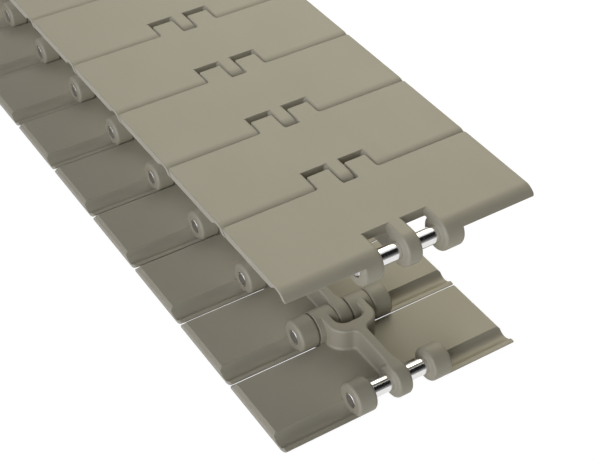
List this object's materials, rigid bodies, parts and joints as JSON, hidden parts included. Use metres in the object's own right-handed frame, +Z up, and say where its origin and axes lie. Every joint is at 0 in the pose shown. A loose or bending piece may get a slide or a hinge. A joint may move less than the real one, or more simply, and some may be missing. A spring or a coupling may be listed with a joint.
{
  "type": "slat top chain",
  "caption": "Two straight lengths of hinged slat top conveyor chain, one above the other, moulded plastic slats joined by round steel pins.",
  "frame": {"origin": "on the surface that the lower length stands on, under the middle of the chain's overall box", "axes": "+X along the direction of travel towards the ends with the bare pins, +Z up, +Y across the slats and along the pins"},
  "size_m": [0.3944, 0.1016, 0.0773],
  "materials": {
    "slat_acetal": "moulded satin",
    "pin_steel": "ground and polished"
  },
  "bodies": {
    "lower_link_01": {"lower_slat_01": "slat_acetal", "lower_pin_01": "pin_steel"},
    "lower_link_02": {"lower_slat_02": "slat_acetal", "lower_pin_02": "pin_steel"},
    "lower_link_03": {"lower_slat_03": "slat_acetal", "lower_pin_03": "pin_steel"},
    "lower_link_04": {"lower_slat_04": "slat_acetal", "lower_pin_04": "pin_steel"},
    "lower_link_05": {"lower_slat_05": "slat_acetal", "lower_pin_05": "pin_steel"},
    "lower_link_06": {"lower_slat_06": "slat_acetal", "lower_pin_06": "pin_steel"},
    "lower_link_07": {"lower_slat_07": "slat_acetal", "lower_pin_07": "pin_steel"},
    "lower_link_08": {"lower_slat_08": "slat_acetal", "lower_pin_08": "pin_steel"},
    "lower_link_09": {"lower_slat_09": "slat_acetal", "lower_pin_09": "pin_steel"},
    "lower_link_10": {"lower_slat_10": "slat_acetal", "lower_pin_10": "pin_steel"},
    "upper_link_01": {"upper_slat_01": "slat_acetal", "upper_pin_01": "pin_steel"},
    "upper_link_02": {"upper_slat_02": "slat_acetal", "upper_pin_02": "pin_steel"},
    "upper_link_03": {"upper_slat_03": "slat_acetal", "upper_pin_03": "pin_steel"},
    "upper_link_04": {"upper_slat_04": "slat_acetal", "upper_pin_04": "pin_steel"},
    "upper_link_05": {"upper_slat_05": "slat_acetal", "upper_pin_05": "pin_steel"},
    "upper_link_06": {"upper_slat_06": "slat_acetal", "upper_pin_06": "pin_steel"},
    "upper_link_07": {"upper_slat_07": "slat_acetal", "upper_pin_07": "pin_steel"},
    "upper_link_08": {"upper_slat_08": "slat_acetal", "upper_pin_08": "pin_steel"},
    "upper_link_09": {"upper_slat_09": "slat_acetal", "upper_pin_09": "pin_steel"},
    "upper_link_10": {"upper_slat_10": "slat_acetal", "upper_pin_10": "pin_steel"}
  },
  "joints": [
    {"name": "lower_hinge_05", "type": "hinge", "parent": "lower_link_06", "child": "lower_link_05", "pos_m": [0, 0, 0.0067], "axis": [0, -1, 0], "range_deg": [-31, 14.5]},
    {"name": "lower_hinge_04", "type": "hinge", "parent": "lower_link_05", "child": "lower_link_04", "pos_m": [0.0381, 0, 0.0067], "axis": [0, -1, 0], "range_deg": [-31, 18.5]},
    {"name": "lower_hinge_03", "type": "hinge", "parent": "lower_link_04", "child": "lower_link_03", "pos_m": [0.0762, 0, 0.0067], "axis": [0, -1, 0], "range_deg": [-31, 25]},
    {"name": "lower_hinge_02", "type": "hinge", "parent": "lower_link_03", "child": "lower_link_02", "pos_m": [0.1143, 0, 0.0067], "axis": [0, -1, 0], "range_deg": [-31, 38]},
    {"name": "lower_hinge_01", "type": "hinge", "parent": "lower_link_02", "child": "lower_link_01", "pos_m": [0.1524, 0, 0.0067], "axis": [0, -1, 0], "range_deg": [-31, 40]},
    {"name": "lower_hinge_06", "type": "hinge", "parent": "lower_link_06", "child": "lower_link_07", "pos_m": [-0.0381, 0, 0.0067], "axis": [0, 1, 0], "range_deg": [-31, 18.5]},
    {"name": "lower_hinge_07", "type": "hinge", "parent": "lower_link_07", "child": "lower_link_08", "pos_m": [-0.0762, 0, 0.0067], "axis": [0, 1, 0], "range_deg": [-31, 25]},
    {"name": "lower_hinge_08", "type": "hinge", "parent": "lower_link_08", "child": "lower_link_09", "pos_m": [-0.1143, 0, 0.0067], "axis": [0, 1, 0], "range_deg": [-31, 38]},
    {"name": "lower_hinge_09", "type": "hinge", "parent": "lower_link_09", "child": "lower_link_10", "pos_m": [-0.1524, 0, 0.0067], "axis": [0, 1, 0], "range_deg": [-31, 40]},
    {"name": "upper_hinge_05", "type": "hinge", "parent": "upper_link_06", "child": "upper_link_05", "pos_m": [0, 0, 0.0706], "axis": [0, 1, 0], "range_deg": [-31, 14.5]},
    {"name": "upper_hinge_04", "type": "hinge", "parent": "upper_link_05", "child": "upper_link_04", "pos_m": [0.0381, 0, 0.0706], "axis": [0, 1, 0], "range_deg": [-31, 18.5]},
    {"name": "upper_hinge_03", "type": "hinge", "parent": "upper_link_04", "child": "upper_link_03", "pos_m": [0.0762, 0, 0.0706], "axis": [0, 1, 0], "range_deg": [-31, 25]},
    {"name": "upper_hinge_02", "type": "hinge", "parent": "upper_link_03", "child": "upper_link_02", "pos_m": [0.1143, 0, 0.0706], "axis": [0, 1, 0], "range_deg": [-31, 38]},
    {"name": "upper_hinge_01", "type": "hinge", "parent": "upper_link_02", "child": "upper_link_01", "pos_m": [0.1524, 0, 0.0706], "axis": [0, 1, 0], "range_deg": [-31, 40]},
    {"name": "upper_hinge_06", "type": "hinge", "parent": "upper_link_06", "child": "upper_link_07", "pos_m": [-0.0381, 0, 0.0706], "axis": [0, -1, 0], "range_deg": [-31, 18.5]},
    {"name": "upper_hinge_07", "type": "hinge", "parent": "upper_link_07", "child": "upper_link_08", "pos_m": [-0.0762, 0, 0.0706], "axis": [0, -1, 0], "range_deg": [-31, 25]},
    {"name": "upper_hinge_08", "type": "hinge", "parent": "upper_link_08", "child": "upper_link_09", "pos_m": [-0.1143, 0, 0.0706], "axis": [0, -1, 0], "range_deg": [-31, 38]},
    {"name": "upper_hinge_09", "type": "hinge", "parent": "upper_link_09", "child": "upper_link_10", "pos_m": [-0.1524, 0, 0.0706], "axis": [0, -1, 0], "range_deg": [-31, 40]},
    {"name": "upper_length_lift", "type": "slide", "parent": "lower_link_06", "child": "upper_link_06", "axis": [0, 0, 1], "range_m": [0, 0.3]}
  ]
}
